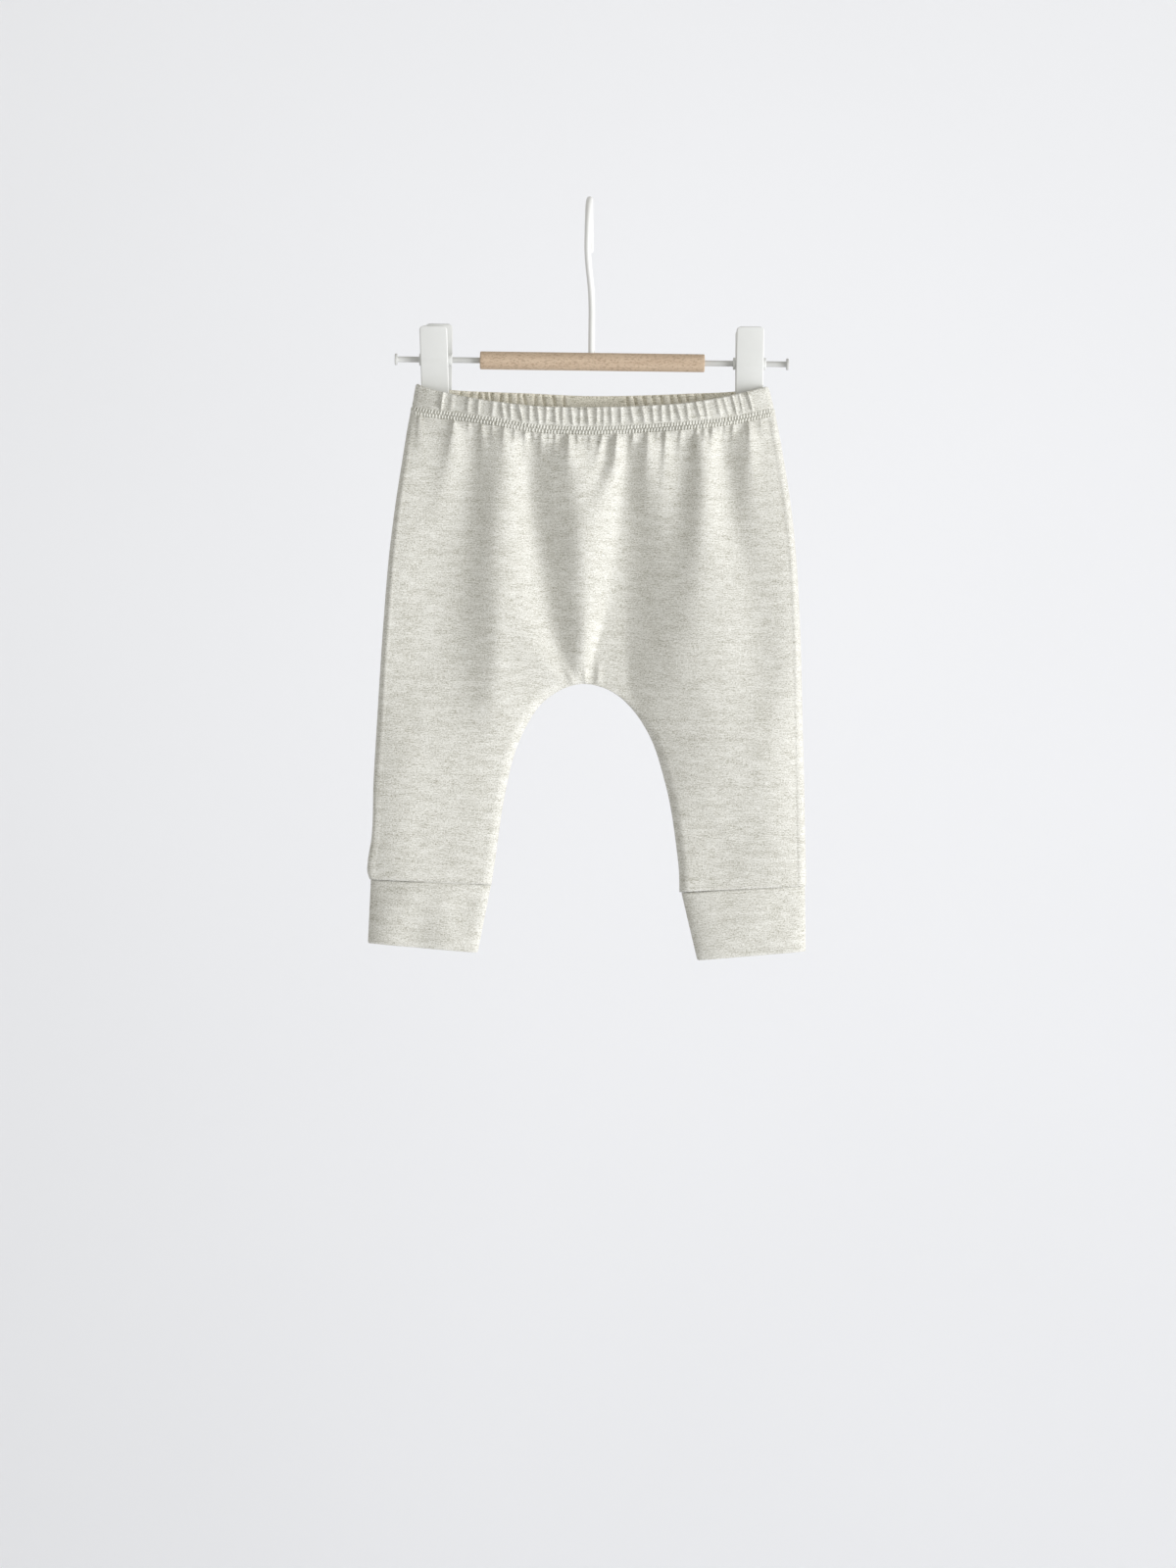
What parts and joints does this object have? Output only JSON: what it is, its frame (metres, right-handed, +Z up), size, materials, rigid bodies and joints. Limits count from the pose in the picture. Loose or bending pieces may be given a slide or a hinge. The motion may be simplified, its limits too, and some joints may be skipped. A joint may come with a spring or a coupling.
{
  "type": "baby leggings on a clip hanger",
  "caption": "Hanging baby leggings with a gathered elastic waistband and folded cuffs, gripped by the spring clips of a small hanger with a wire hook and wooden grip.",
  "frame": {"origin": "the top of the hook's inside, where it rests on a rail", "axes": "+Z up, -Y out of the leggings' front, +X to the right seen from the front"},
  "size_m": [0.2568, 0.0415, 0.4469],
  "materials": {
    "jersey": "oatmeal marl cotton jersey with fine crosswise streaks",
    "band_jersey": "the same marl jersey, gathered over elastic and coverstitched",
    "cuff_jersey": "the same marl jersey, folded double",
    "white_wire": "satin white paint on wire",
    "white_plate": "satin white paint on pressed steel",
    "beech": "plain sanded beech, unvarnished"
  },
  "bodies": {
    "root": {"front_panel": "jersey", "back_panel": "jersey", "waistband": "band_jersey", "cuff_left": "cuff_jersey", "cuff_right": "cuff_jersey", "hook": "white_wire", "rod": "white_wire", "grip": "beech", "clip_front_left": "white_plate", "clip_back_left": "white_plate", "clip_barrel_left": "white_plate", "clip_front_right": "white_plate", "clip_back_right": "white_plate", "clip_barrel_right": "white_plate"}
  },
  "joints": []
}
